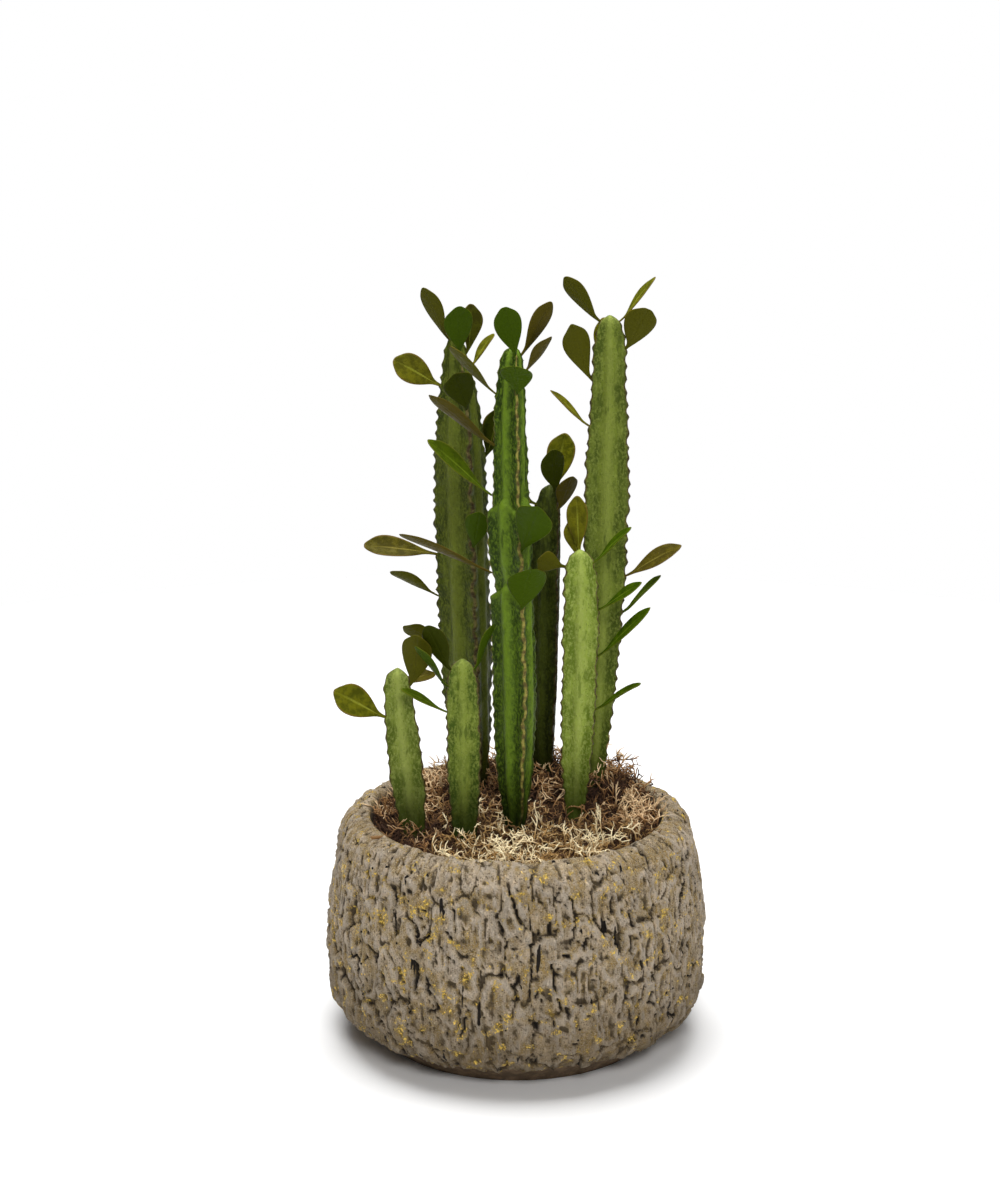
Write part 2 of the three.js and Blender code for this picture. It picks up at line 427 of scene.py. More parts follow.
def tidy_mesh(piece, threshold=1e-6):
    """Merges doubled vertices and turns every face outwards."""
    hold(piece)
    bpy.ops.object.mode_set(mode="EDIT")
    bpy.ops.mesh.select_all(action="SELECT")
    bpy.ops.mesh.remove_doubles(threshold=threshold)
    bpy.ops.mesh.normals_make_consistent(inside=False)
    bpy.ops.object.mode_set(mode="OBJECT")


def apply_modifier(piece, kind, **settings):
    hold(piece)
    modifier = piece.modifiers.new(kind.title(), kind)
    for key, value in settings.items():
        setattr(modifier, key, value)
    bpy.ops.object.modifier_apply(modifier=modifier.name)


def smooth_faces(piece):
    hold(piece)
    bpy.ops.object.shade_smooth()


def place_piece(piece, slot, material, *nodes):
    """Gives a finished piece its material and its body, in place of CAD nodes. The slot is not used."""
    piece.data.materials.clear()
    piece.data.materials.append(material)
    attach(piece, BODY)
    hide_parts(*nodes)


def spun_skin(name, rings, steps):
    """A closed skin of radius 1 round Z with a ring at each unit of height and a pole at each end."""
    outline = [(0, 0, 0)] + [(1, 0, ring) for ring in range(rings)] + [(0, 0, rings - 1)]
    mesh = bpy.data.meshes.new(name)
    mesh.from_pydata(outline, [(i, i + 1) for i in range(len(outline) - 1)], [])
    skin = bpy.data.objects.new(name, mesh)
    bpy.context.scene.collection.objects.link(skin)
    hold(skin)
    bpy.ops.object.mode_set(mode="EDIT")
    bpy.ops.mesh.select_all(action="SELECT")
    bpy.ops.mesh.spin(steps=steps, angle=2 * math.pi, center=(0, 0, 0), axis=(0, 0, 1))
    bpy.ops.object.mode_set(mode="OBJECT")
    tidy_mesh(skin, 1e-4)
    return skin


def unrolled(skin):
    """The angle in degrees, the ring number and whether it is a pole, for each vertex."""
    points = read_points(skin.data)
    angle = np.degrees(np.arctan2(points[:, 1], points[:, 0]))
    ring = np.rint(points[:, 2]).astype(int)
    pole = np.hypot(points[:, 0], points[:, 1]) < 0.5
    return angle, ring, pole


# ------------------------------------------------------------------ shared shader effects


def join(tree, value, socket):
    if isinstance(value, bpy.types.NodeSocket):
        tree.links.new(value, socket)
    else:
        if socket.type == "RGBA" and len(value) == 3:
            value = (*value, 1)
        socket.default_value = value


def calculate(tree, operation, first, second=0.0):
    node = tree.nodes.new("ShaderNodeMath")
    node.operation = operation
    join(tree, first, node.inputs[0])
    join(tree, second, node.inputs[1])
    return node.outputs[0]


def blend(tree, mask, low, high):
    node = tree.nodes.new("ShaderNodeMix")
    node.data_type = "RGBA"
    join(tree, mask, node.inputs[0])
    join(tree, low, node.inputs[6])
    join(tree, high, node.inputs[7])
    return node.outputs[2]


def remap(tree, value, low, high, out_low=0.0, out_high=1.0):
    node = tree.nodes.new("ShaderNodeMapRange")
    node.interpolation_type = "SMOOTHSTEP"
    for label, given in (
        ("Value", value),
        ("From Min", low),
        ("From Max", high),
        ("To Min", out_low),
        ("To Max", out_high),
    ):
        join(tree, given, node.inputs[label])
    return node.outputs[0]


def new_group(name, inputs, output):
    """An empty node group. inputs are (label, default), where three numbers make a vector."""
    tree = bpy.data.node_groups.new(name, "ShaderNodeTree")
    for label, default in inputs:
        kind = "NodeSocketVector" if isinstance(default, tuple) else "NodeSocketFloat"
        socket = tree.interface.new_socket(name=label, in_out="INPUT", socket_type=kind)
        socket.default_value = default
    tree.interface.new_socket(name=output, in_out="OUTPUT", socket_type="NodeSocketFloat")
    start = tree.nodes.new("NodeGroupInput")
    end = tree.nodes.new("NodeGroupOutput")
    return tree, start.outputs, end.inputs[0]


def stretched_place(tree, stretch, size):
    """Object coordinates divided by a size and multiplied by a stretch along each axis."""
    place = tree.nodes.new("ShaderNodeTexCoord").outputs["Object"]
    scaled = tree.nodes.new("ShaderNodeVectorMath")
    scaled.operation = "MULTIPLY"
    join(tree, place, scaled.inputs[0])
    join(tree, stretch, scaled.inputs[1])
    resized = tree.nodes.new("ShaderNodeVectorMath")
    resized.operation = "SCALE"
    join(tree, scaled.outputs[0], resized.inputs[0])
    join(tree, calculate(tree, "DIVIDE", 1.0, size), resized.inputs["Scale"])
    return resized.outputs[0]


def build_mottling():
    """Cloudy patches: Size is their size, and Low and High are the noise values that they span."""
    tree, given, result = new_group(
        "Mottling",
        [("Size", 0.01), ("Stretch", (1.0, 1.0, 1.0)), ("Low", 0.4), ("High", 0.6), ("Detail", 4.0)],
        "Mask",
    )
    noise = tree.nodes.new("ShaderNodeTexNoise")
    noise.inputs["Scale"].default_value = 1
    noise.inputs["Roughness"].default_value = 0.6
    join(tree, given["Detail"], noise.inputs["Detail"])
    join(tree, stretched_place(tree, given["Stretch"], given["Size"]), noise.inputs["Vector"])
    join(tree, remap(tree, noise.outputs[0], given["Low"], given["High"]), result)


def build_specks():
    """Small separate specks: Size is their spacing and Share how many of the places hold one."""
    tree, given, result = new_group("Specks", [("Size", 0.002), ("Share", 0.3), ("Fill", 0.4)], "Mask")
    cells = tree.nodes.new("ShaderNodeTexVoronoi")
    cells.inputs["Scale"].default_value = 1
    join(tree, stretched_place(tree, (1.0, 1.0, 1.0), given["Size"]), cells.inputs["Vector"])
    channels = tree.nodes.new("ShaderNodeSeparateColor")
    join(tree, cells.outputs["Color"], channels.inputs[0])
    chosen = calculate(tree, "LESS_THAN", channels.outputs[0], given["Share"])
    inside = remap(tree, cells.outputs["Distance"], given["Fill"], calculate(tree, "MULTIPLY", given["Fill"], 0.6))
    join(tree, calculate(tree, "MULTIPLY", chosen, inside), result)


def build_band():
    """A soft ragged band: full where Position is under Edge, ending over Softness."""
    tree, given, result = new_group(
        "Ragged band",
        [("Position", 0.0), ("Edge", 0.1), ("Softness", 0.1), ("Wander", 0.0), ("Size", 0.002)],
        "Mask",
    )
    noise = tree.nodes.new("ShaderNodeTexNoise")
    noise.inputs["Scale"].default_value = 1
    noise.inputs["Detail"].default_value = 3
    join(tree, stretched_place(tree, (1.0, 1.0, 1.0), given["Size"]), noise.inputs["Vector"])
    sway = calculate(tree, "MULTIPLY", calculate(tree, "SUBTRACT", noise.outputs[0], 0.5), given["Wander"])
    moved = calculate(tree, "ADD", given["Position"], sway)
    end = calculate(tree, "ADD", given["Edge"], given["Softness"])
    join(tree, remap(tree, moved, end, given["Edge"]), result)


SHARED_GROUPS = {"Mottling": build_mottling, "Specks": build_specks, "Ragged band": build_band}


class Finish:
    """A material in the making, with its shader at the end."""

    def __init__(self, name, roughness, **constants):
        self.material = bpy.data.materials.new(name)
        self.material.use_nodes = True
        self.tree = self.material.node_tree
        self.shader = self.tree.nodes["Principled BSDF"]
        self.feed("Roughness", roughness)
        for label, value in constants.items():
            self.feed(label.replace("_", " "), value)

    def feed(self, label, value):
        join(self.tree, value, self.shader.inputs[label])

    def value(self, name):
        node = self.tree.nodes.new("ShaderNodeAttribute")
        node.attribute_name = name
        return node.outputs["Fac"]

    def effect(self, name, **settings):
        if name not in bpy.data.node_groups:
            SHARED_GROUPS[name]()
        node = self.tree.nodes.new("ShaderNodeGroup")
        node.node_tree = bpy.data.node_groups[name]
        for label, value in settings.items():
            join(self.tree, value, node.inputs[label])
        return node.outputs[0]

    def blend(self, mask, low, high):
        return blend(self.tree, mask, low, high)

    def calculate(self, operation, first, second=0.0):
        return calculate(self.tree, operation, first, second)

    def remap(self, value, low, high, out_low=0.0, out_high=1.0):
        return remap(self.tree, value, low, high, out_low, out_high)

    def bump(self, height, distance):
        node = self.tree.nodes.new("ShaderNodeBump")
        node.inputs["Distance"].default_value = distance
        join(self.tree, height, node.inputs["Height"])
        self.feed("Normal", node.outputs[0])


# ------------------------------------------------------------------ bowl


def cast_bark_finish(settings):
    """Sandy cement: lilac-grey ridges, olive-brown pockets, dark cracks and worn gold flecks, with painted shade in
    the hollows and towards the bottom and painted light on the raised spots.
    """
    finish = Finish("cast_bark", 0.85, Specular_IOR_Level=0.3)
    cement = tuple(settings.cement)
    crest = finish.value("crest")
    dent = finish.value("dent")
    clouds = finish.effect("Mottling", Size=0.008, Stretch=(1.0, 1.0, 0.5), Low=0.38, High=0.62)
    streaks = finish.effect("Mottling", Size=0.0021, Stretch=(1.0, 1.0, 0.18), Low=0.44, High=0.64)
    sand = finish.effect("Mottling", Size=0.0007, Low=0.46, High=0.62, Detail=2.0)
    patches = finish.effect("Mottling", Size=0.012, Low=0.41, High=0.54)
    colour = finish.blend(clouds, tuple(0.5 * c for c in cement), cement)
    olive = finish.calculate("MULTIPLY", patches, finish.remap(crest, 0.7, 0.1))
    colour = finish.blend(finish.calculate("MULTIPLY", olive, 0.9), colour, (0.33, 0.21, 0.055))
    lilac = finish.calculate("MULTIPLY", crest, finish.remap(streaks, 0.0, 1.0, 0.45, 1.0))
    colour = finish.blend(finish.calculate("MULTIPLY", lilac, 0.85), colour, (0.74, 0.62, 0.51))
    colour = finish.blend(finish.calculate("MULTIPLY", streaks, 0.4), colour, (0.64, 0.51, 0.35))
    colour = finish.blend(finish.calculate("MULTIPLY", sand, 0.55), colour, (0.85, 0.71, 0.5))
    dots = finish.effect("Specks", Size=0.0014, Share=0.42, Fill=0.5)
    colour = finish.blend(finish.calculate("MULTIPLY", dots, 0.55), colour, (0.08, 0.055, 0.026))
    # Painted shade in the hollows and painted light on the raised spots, from how far each place lies below its
    # neighbourhood.
    colour = finish.blend(finish.remap(dent, 0.12, 0.9, 0.0, 0.88), colour, (0.05, 0.034, 0.016))
    colour = finish.blend(finish.remap(dent, -0.1, -1.0, 0.0, 0.45), colour, (0.6, 0.52, 0.42))
    # Painted shade: the colour darkens towards the bottom of the bowl.
    colour = finish.blend(finish.value("grime"), colour, (0.12, 0.08, 0.035))
    wander = finish.effect("Mottling", Size=0.003, Low=0.3, High=0.7)
    seam = finish.calculate("ADD", finish.value("seam"), finish.calculate("MULTIPLY", wander, 0.07))
    seams = finish.calculate("MULTIPLY", finish.remap(seam, 0.1, 0.055), finish.value("gaping"))
    hairlines = finish.effect("Mottling", Size=0.0065, Stretch=(1.0, 1.0, 0.16), Low=0.69, High=0.715, Detail=2.0)
    chips = finish.effect("Specks", Size=0.008, Share=0.22, Fill=0.14)
    cracks = finish.calculate("MAXIMUM", seams, finish.calculate("MAXIMUM", hairlines, chips))
    cracks = finish.calculate("MAXIMUM", cracks, finish.value("crack"))
    band = finish.value("foot")
    inside = finish.value("inside")
    open_face = finish.calculate("MULTIPLY", finish.remap(band, 1.0, 0.0), finish.remap(inside, 1.0, 0.0))
    cracks = finish.calculate("MULTIPLY", cracks, open_face)
    colour = finish.blend(cracks, colour, (0.014, 0.009, 0.005))
    colour = finish.blend(band, colour, finish.blend(clouds, (0.1, 0.062, 0.03), (0.18, 0.115, 0.06)))
    colour = finish.blend(inside, colour, finish.blend(clouds, (0.13, 0.095, 0.058), (0.24, 0.19, 0.13)))
    clusters = finish.effect("Mottling", Size=0.009, Low=0.575, High=0.625, Detail=4.0)
    stain = finish.calculate("MULTIPLY", finish.calculate("MULTIPLY", clusters, open_face), finish.remap(cracks, 0.5, 0.0))
    colour = finish.blend(finish.calculate("MULTIPLY", stain, 0.35), colour, (0.5, 0.31, 0.03))
    flakes = finish.effect("Mottling", Size=0.0017, Low=0.53, High=0.57, Detail=2.0)
    gold = finish.calculate("MULTIPLY", stain, flakes)
    finish.feed("Base Color", finish.blend(gold, colour, tuple(settings.gold)))
    finish.feed("Metallic", finish.calculate("MULTIPLY", gold, 0.35))
    finish.feed("Roughness", finish.remap(gold, 0.0, 1.0, 0.88, 0.34))
    height = finish.calculate("ADD", finish.calculate("MULTIPLY", streaks, 0.9), sand)
    height = finish.calculate("SUBTRACT", height, finish.calculate("MULTIPLY", cracks, 2.2))
    height = finish.calculate("MULTIPLY", height, finish.remap(band, 0.0, 1.0, 1.0, 0.25))
    finish.bump(height, 0.0011)
    return finish.material


def bowl_outline():
    """The bowl's outline from the CAD: rings as (radius, height), outside and over the lip, then inside."""
    points = read_points(frame["nodes"]["pot"].data)
    pairs = np.unique(np.round(np.c_[np.hypot(points[:, 0], points[:, 1]), points[:, 2]], 4), axis=0)
    mouth = pairs[pairs[:, 1] > pairs[:, 1].max() - 1e-4][:, 0].min()
    pairs = pairs[pairs[:, 0] > 0.02]
    outer = pairs[(pairs[:, 0] > mouth + 1e-4) | (pairs[:, 1] < 1e-4)]
    inner = pairs[(pairs[:, 0] <= mouth + 1e-4) & (pairs[:, 1] > 1e-4)]
    outer, inner = outer[np.argsort(outer[:, 1])], inner[np.argsort(-inner[:, 1])]
    return np.r_[outer, inner[:1]], inner


def along_outline(pairs, gap):
    """Rings at even steps along an outline, with its corners rounded off."""
    lengths = np.r_[0, np.cumsum(np.hypot(*np.diff(pairs, axis=0).T))]
    places = np.linspace(0, lengths[-1], max(3, int(lengths[-1] / gap) + 1))
    rings = np.c_[np.interp(places, lengths, pairs[:, 0]), np.interp(places, lengths, pairs[:, 1])]
    reach = max(1, int(3.0 * MM / gap))
    smoothed = np.c_[softened(rings[:, 0], reach), softened(rings[:, 1], reach)]
    smoothed[0], smoothed[-1] = rings[0], rings[-1]
    return smoothed


def bark_plates(around, up, girth, width, height, seed):
    """Staggered plates of bark. For each place: how near its plate's border it is, the plate's
    level from 0 to 1, and how high up the plate it is, 0 being its middle."""
    columns = round(girth / width)
    width = girth / columns
    rows = int(up.max() / height) + 4
    rng = np.random.default_rng(seed)
    shift_x = rng.uniform(-0.34, 0.34, (columns, rows))
    shift_y = rng.uniform(-0.4, 0.4, (columns, rows))
    levels = rng.uniform(0, 1, (columns, rows))
    column = np.floor(around / width).astype(int)
    row = np.floor(up / height).astype(int) + 1
    nearest = np.full(len(around), 1e9)
    second = nearest.copy()
    level, rise = np.zeros(len(around)), np.zeros(len(around))
    for side, storey in product(range(-2, 3), range(-2, 3)):
        c = (column + side) % columns
        r = np.clip(row + storey, 0, rows - 1)
        across = (around - (column + side + 0.5 + shift_x[c, r]) * width) / width
        along = (up - (r - 0.5 + 0.5 * (c % 2) + shift_y[c, r]) * height) / height
        away = 0.75 * np.maximum(np.abs(across) * 1.05, np.abs(along) * 0.95) + 0.25 * np.hypot(across, along)
        first = away < nearest
        second = np.where(first, nearest, np.minimum(second, away))
        level, rise = np.where(first, levels[c, r], level), np.where(first, along, rise)
        nearest = np.minimum(nearest, away)
    return second - nearest, level, rise


def bark_slots(around, up, girth, count):
    """Deep narrow slots, mostly upright, as a mask from 0 to 1."""
    rng = np.random.default_rng(9)
    mask = np.zeros(len(around))
    for _ in range(count):
        level = rng.random() < 0.28
        length = rng.uniform(5, 9) * MM if level else rng.uniform(6, 18) * MM
        half = rng.uniform(0.25, 0.7) * MM
        aside = (around - rng.uniform(0, girth) + girth / 2) % girth - girth / 2
        above = up - rng.uniform(16 * MM, up.max() - 6 * MM)
        run, off = (aside, above) if level else (above, aside)
        off = off - rng.uniform(-0.25, 0.25) * run - 0.9 * MM * np.sin(run / (3 * MM) + rng.uniform(0, 6))
        within = 1 - eased(length / 2 - 2 * MM, length / 2, np.abs(run))
        mask = np.maximum(mask, within * (1 - eased(half, half + 0.9 * MM, np.abs(off))))
    return mask


def hollowness(relief, ring, angle, rings, steps):
    """How far each place lies below its neighbourhood, for relief on rings of even steps."""
    step = np.rint(angle * steps / 360).astype(int) % steps
    sheet = np.zeros((rings, steps))
    sheet[ring, step] = relief
    smoothed = sheet
    for axis, reach in product((0, 1), (3, 2)):
        shifts = range(-reach, reach + 1)
        smoothed = sum(np.roll(smoothed, shift, axis=axis) for shift in shifts) / (2 * reach + 1)
    return (smoothed - sheet)[ring, step]


def cast_bowl(settings):
    outer, inner = bowl_outline()
    outside = along_outline(outer, 1.38 * MM)
    inside = along_outline(inner, 6 * MM)[1:]
    rings = np.r_[[[outer[0, 0] * 0.5, 0]], outside, inside, [[inside[-1, 0] * 0.5, inside[-1, 1]]]]
    skin = spun_skin("bark_bowl", len(rings), settings.steps)
    angle, ring, pole = unrolled(skin)
    radius, height = rings[ring, 0], rings[ring, 1]
    theta = np.radians(angle)
    belly = outer[:, 0].max()
    girth = 2 * math.pi * belly
    places = np.r_[0, np.cumsum(np.hypot(*np.diff(outside, axis=0).T))]
    outward = (ring >= 1) & (ring <= len(outside))
    up = places[np.clip(ring - 1, 0, len(outside) - 1)]
    round_place = np.c_[belly * np.cos(theta), belly * np.sin(theta), up] / MM
    around = (theta % (2 * math.pi)) * belly
    warp_x = 2.6 * smooth_noise(round_place / 12, 1) + 1.9 * rough_noise(round_place / 4.2, 2)
    warp_y = 4.0 * smooth_noise(round_place / 13, 3) + 2.6 * rough_noise(round_place / 4.6, 4)
    bent_around, bent_up = around + warp_x * MM, up + warp_y * MM
    border, level, rise = bark_plates(
        bent_around, bent_up, girth, settings.plate_width, settings.plate_height, 5
    )
    chip = bark_plates(bent_around, bent_up, girth, settings.plate_width * 0.5, settings.plate_height * 0.46, 6)
    # Plates and the chips on them lie at different levels, each thickest at its upper ledge.
    terrace = 1.05 * level + 0.5 * np.clip(0.5 + rise, 0, 1) + 0.4 * chip[1] + 0.25 * np.clip(0.5 + chip[2], 0, 1)
    relief = settings.relief * (terrace - 1.1)
    # Fibrous crests run up the bark and along the plates' borders, and fork.
    lines = smooth_noise(round_place / (5.5, 5.5, 25), 8) + 0.4 * smooth_noise(round_place / 3.4, 7)
    crest = np.exp(-((lines / 0.14) ** 2)) * eased(-0.3, 0.3, smooth_noise(round_place / 17, 11))
    ragged_border = border + 0.06 * rough_noise(round_place / 3.5, 13)
    rim = hump(ragged_border, 0.24, 0.13) * eased(-0.35, 0.3, smooth_noise(round_place / 11, 14))
    crest = np.maximum(crest, rim)
    fibres = smooth_noise(round_place / (2.7, 2.7, 17), 9)
    relief += 1.8 * MM * crest + 0.7 * MM * fibres + 0.6 * MM * rough_noise(round_place / 2.9, 10)
    gaping = eased(-0.1, 0.3, smooth_noise(round_place / (9, 9, 18), 12)) * eased(0.6, 0.38, np.abs(rise))
    relief -= 2.2 * MM * gaping * (1 - eased(0.02, 0.1, border))
    slot = bark_slots(bent_around, bent_up, girth, settings.slots)
    pit = eased(0.76, 0.92, smooth_noise(round_place / 2.7, 15) + 0.3 * smooth_noise(round_place / 8, 16))
    relief -= 2.4 * MM * slot + 1.8 * MM * pit
    # The foot band and the lip stay smooth.
    ragged = 2.2 * MM * rough_noise(round_place / 9, 18)
    foot = 1 - eased(-0.6 * MM, 1.2 * MM, height - settings.foot_band - ragged)
    past_lip = eased(up.max() - 2.6 * MM, up.max() - 0.4 * MM, up)
    shoulder = eased(up.max() - 26 * MM, up.max() - 12 * MM, up)
    calm = (1 - foot) * (1 - past_lip) * (1 - 0.2 * shoulder)
    # The hollowness drives painted shade in the hollows and painted light on the raised spots in the bark finish.
    dent = hollowness(relief, ring, angle, len(rings), settings.steps) / (1.1 * MM)
    lifted = 3.4 * MM - softplus(3.4 * MM - (relief + 1.0 * MM), 0.25 * MM)
    lifted *= calm
    slopes = np.gradient(outside, axis=0)
    normals = np.c_[slopes[:, 1], -slopes[:, 0]]
    normals /= np.linalg.norm(normals, axis=1)[:, None]
    normal = normals[np.clip(ring - 1, 0, len(outside) - 1)]
    moved = np.where(outward & ~pole, lifted, 0)
    grown = np.where(pole, 0, radius + moved * normal[:, 0])
    raised = np.maximum(height + moved * normal[:, 1], 0)
    write_points(skin.data, np.c_[grown * np.cos(theta), grown * np.sin(theta), raised])
    smooth_faces(skin)
    shown = calm * outward
    write_value(skin.data, "crack", np.clip(slot + 0.7 * pit, 0, 1) * shown)
    write_value(skin.data, "seam", border)
    write_value(skin.data, "gaping", gaping * shown)
    write_value(skin.data, "dent", np.clip(dent, -1, 1) * shown)
    write_value(skin.data, "crest", crest * shown)
    # Painted shade for the bowl's lower part, stronger towards the bottom.
    write_value(skin.data, "grime", 0.6 * eased(0.1, 0.015, height) * shown)
    write_value(skin.data, "foot", np.where(outward, foot, ring < 1))
    write_value(skin.data, "inside", (ring > len(outside)) * 1.0)
    place_piece(skin, "cast_bark", cast_bark_finish(settings), "pot")


# ------------------------------------------------------------------ soil


def soil_finish():
    """Dark crumbs of potting mix."""
    finish = Finish("soil_mix", 0.95)
    crumbs = finish.effect("Mottling", Size=0.003, Low=0.35, High=0.65)
    bits = finish.effect("Specks", Size=0.0025, Share=0.2)
    colour = finish.blend(crumbs, (0.022, 0.014, 0.009), (0.075, 0.05, 0.034))
    finish.feed("Base Color", finish.blend(bits, colour, (0.2, 0.17, 0.13)))
    finish.bump(crumbs, 0.0015)
    return finish.material


# ------------------------------------------------------------------ stems


def stem_finish(name):
    """Marbled satin skin, brighter up the middle of each face, with tan rib edges and dark teeth."""
    skin = STEM_SKINS[name]
    finish = Finish(f"stem_skin_{name}", 0.5, Specular_IOR_Level=0.12)
    from_rib = finish.value("from_rib")
    cloud = finish.effect("Mottling", Size=0.008, Stretch=(1.0, 1.0, 0.4), Low=0.36, High=0.62)
    flecks = finish.effect("Mottling", Size=0.0015, Stretch=(1.0, 1.0, 0.6), Low=0.44, High=0.64)
    dots = finish.effect("Specks", Size=0.0013, Share=0.25, Fill=0.45)
    middle = finish.remap(from_rib, 0.12, 0.75)
    lit = finish.calculate("ADD", finish.calculate("MULTIPLY", cloud, 0.6), finish.calculate("MULTIPLY", middle, 0.5))
    colour = finish.blend(finish.remap(lit, 0.1, 0.95), skin["marble"], skin["face"])
    colour = finish.blend(finish.calculate("MULTIPLY", flecks, 0.6), colour, skin["line"])
    colour = finish.blend(finish.calculate("MULTIPLY", dots, 0.6), colour, skin["marble"])
    to_middle = finish.calculate("SUBTRACT", 1.0, from_rib)
    feather = finish.effect("Ragged band", Position=to_middle, Edge=0.0, Softness=0.62, Wander=0.9, Size=0.0035)
    colour = finish.blend(finish.calculate("MULTIPLY", feather, skin["bright"]), colour, skin["line"])
    blotches = finish.effect("Mottling", Size=0.006, Stretch=(1.0, 1.0, 0.3), Low=0.58, High=0.66)
    colour = finish.blend(finish.calculate("MULTIPLY", blotches, 0.65), colour, skin["marble"])
    colour = finish.blend(finish.calculate("MULTIPLY", finish.value("scar"), 0.55), colour, skin["line"])
    edge = finish.effect("Ragged band", Position=from_rib, Edge=0.015, Softness=0.075, Wander=0.14, Size=0.003)
    colour = finish.blend(finish.calculate("MULTIPLY", edge, 0.85), colour, skin["edge"])
    scabs = finish.effect("Mottling", Size=0.0034, Low=0.47, High=0.58, Detail=2.0)
    worn = finish.calculate("MULTIPLY", edge, finish.calculate("MULTIPLY", scabs, 0.8))
    colour = finish.blend(worn, colour, skin["tip"])
    colour = finish.blend(finish.value("thorn"), colour, skin["tip"])
    dusk = tuple(0.3 * c for c in skin["marble"])
    colour = finish.blend(finish.calculate("MULTIPLY", finish.value("shade"), 0.9), colour, dusk)
    finish.feed("Base Color", colour)
    finish.feed("Roughness", finish.remap(cloud, 0.0, 1.0, 0.58, 0.42))
    finish.bump(finish.calculate("ADD", finish.calculate("MULTIPLY", flecks, 0.6), cloud), 0.0004)
    return finish.material


def measured_stem(node):
    """A CAD stem's ring heights, middles and rib radii, and the compass angle of its first rib."""
    points = np.unique(np.round(read_points(node.data), 5), axis=0)
    heights = [z for z in np.unique(points[:, 2]) if (points[:, 2] == z).sum() >= 9]
    middles, girths, turn = [], [], 0.0
    for z in heights:
        ring = points[points[:, 2] == z]
        middle = ring.mean(axis=0)
        away = ring[:, :2] - middle[:2]
        reach = np.hypot(*away.T)
        if not girths or reach.max() > max(girths):
            turn = math.degrees(math.atan2(*away[reach.argmax()][::-1])) % RIB_STEP
        middles.append(middle)
        girths.append(reach.max())
    return np.array(heights), np.array(middles), np.array(girths), turn


def growth_shoulder(height, from_rib, shoulder):
    """How much the stem narrows where one growth ends in an arch, and where that end's rim is."""
    arch = shoulder - 9 * MM * (1 - from_rib) ** 1.5
    above = height - arch
    rounding = 5 * MM
    closing = 1 - np.sqrt(1 - np.clip((above + rounding) / rounding, 0, 1) ** 2)
    reopening = np.exp(-np.clip(above, 0, None) / (11 * MM))
    rim = hump(above, -2.5 * MM, 3 * MM)
    return 1 - 0.28 * np.where(above < 0, closing, reopening), rim


def grow_stem(name, look, settings, material):
    node = frame["nodes"]["stem_" + name]
    heights, middles, girths, turn = measured_stem(node)
    foot, top = heights[0], heights[-1]
    rings = int((top - foot) / settings.ring_gap) + 1
    levels = np.linspace(foot, top, rings)
    girth = softened(np.interp(levels, heights, girths), 3)
    middle_x = softened(np.interp(levels, heights, middles[:, 0]), 12)
    middle_y = softened(np.interp(levels, heights, middles[:, 1]), 12)
    skin = spun_skin(f"ribbed_{name}", rings, settings.steps)
    angle, ring, pole = unrolled(skin)
    z = levels[ring]
    # Vertices crowd towards the ribs, where the shape turns fastest.
    crowded = angle - 13 * np.sin(np.radians(RIBS * angle))
    nearest = np.round(crowded / RIB_STEP)
    offset = crowded - nearest * RIB_STEP
    rib = nearest.astype(int) % RIBS
    seed = look["seed"]
    phase = (z - top) / (look["gap"] * MM) + 0.37 * rib
    phase += 0.35 * smooth_noise(np.c_[z / (14 * MM), rib * 7.3, np.zeros(len(z))], seed)
    wave = np.cos(2 * math.pi * phase)
    strength = 1 + 0.35 * smooth_noise(np.c_[z / (11 * MM), rib * 3.7, np.ones(len(z))], seed)
    tooth = (0.5 + 0.5 * wave) ** 1.6 * strength - 0.35
    sway = 4 * smooth_noise(np.c_[z / (12 * MM), rib * 5.1, np.zeros(len(z))], seed + 1)
    sway += 2.2 * np.sin(math.pi * phase)
    from_rib = np.clip(np.abs(offset) / HALF_FACE, 0, 1)
    shape = 0.565 + 0.405 * np.exp(-((offset / 14.5) ** 2))
    shape += 0.055 * hump(from_rib, 1.0, 0.35) - 0.012 * hump(from_rib, 0.55, 0.12)
    radius = girth[ring] * shape
    bold = np.clip(girth[ring] / (12 * MM), 0.15, 1)
    radius += look["tooth"] * MM * bold * tooth * np.exp(-((offset / 11.0) ** 2))
    scar = np.zeros(len(z))
    for shoulder in look.get("shoulders", ()):
        narrowing, rim = growth_shoulder(z, from_rib, shoulder)
        radius *= narrowing
        scar = np.maximum(scar, rim)
    place = np.c_[np.cos(np.radians(angle)) * 14, np.sin(np.radians(angle)) * 14, z / MM]
    radius += bold * MM * (0.4 * rough_noise(place / 9, seed + 2) + 0.15 * smooth_noise(place / 2.4, seed + 3))
    top_share = (z - (top - 3 * MM)) / (3 * MM)
    radius *= np.sqrt(1 - 0.8 * np.clip(top_share, 0, 1) ** 2)
    radius[pole] = 0
    direction = np.radians(crowded + turn + sway * np.exp(-((offset / 16) ** 2)))
    points = np.c_[middle_x[ring] + radius * np.cos(direction), middle_y[ring] + radius * np.sin(direction), z]
    write_points(skin.data, points)
    scar = np.maximum(scar, 0.6 * eased(top - 7 * MM, top - 2 * MM, z))
    write_value(skin.data, "from_rib", np.where(pole, 0.5, from_rib))
    write_value(skin.data, "scar", scar)
    write_value(skin.data, "shade", eased(settings.base_shade, 0.152, z) ** 1.4)
    write_value(skin.data, "thorn", 0.9 * eased(0.3, 0.9, wave) * hump(offset, 0, 5))
    smooth_faces(skin)
    add_thorns(skin, look, settings, (levels, middle_x, middle_y, girth), turn)
    place_piece(skin, look["slot"], material, "stem_" + name)


